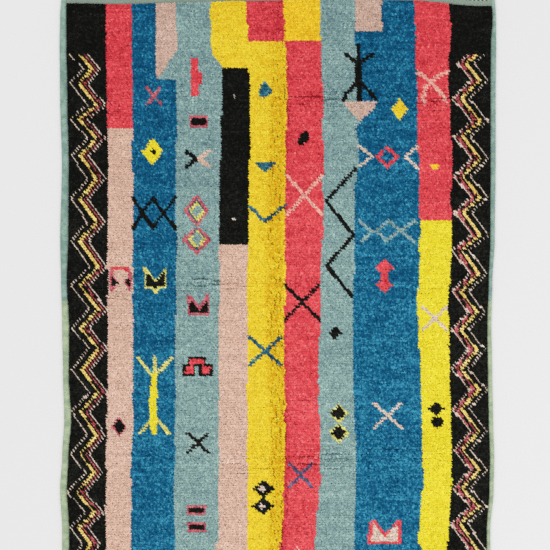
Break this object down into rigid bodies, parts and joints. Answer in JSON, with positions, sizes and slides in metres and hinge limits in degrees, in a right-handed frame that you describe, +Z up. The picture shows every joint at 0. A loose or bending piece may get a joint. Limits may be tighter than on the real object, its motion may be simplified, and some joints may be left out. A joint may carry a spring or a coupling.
{
  "type": "moroccan rug",
  "caption": "Flat hand-knotted wool rug with a short pile, flat-woven ends and wrapped sides, in broad coloured stripes with small traditional weaving signs.",
  "frame": {"origin": "centre of the rug's footprint, on the floor", "axes": "+Y along the rug's length towards its top end, +X across it, +Z up out of the pile"},
  "size_m": [1.506, 2.4999, 0.0164],
  "materials": {
    "wool_pile": "hand-knotted wool pile, cut short and matt, in black, coral, blue, pale pink, grey-blue and yellow",
    "teal_binding_yarn": "wool yarn wrapped closely round the side of the rug, matt teal",
    "sage_binding_yarn": "wool yarn wrapped closely round the side of the rug, matt sage green"
  },
  "bodies": {
    "root": {"rug_cloth": "wool_pile", "binding_left_teal": "teal_binding_yarn", "binding_left_sage": "sage_binding_yarn", "binding_right_teal": "teal_binding_yarn", "binding_right_sage": "sage_binding_yarn"}
  },
  "joints": []
}
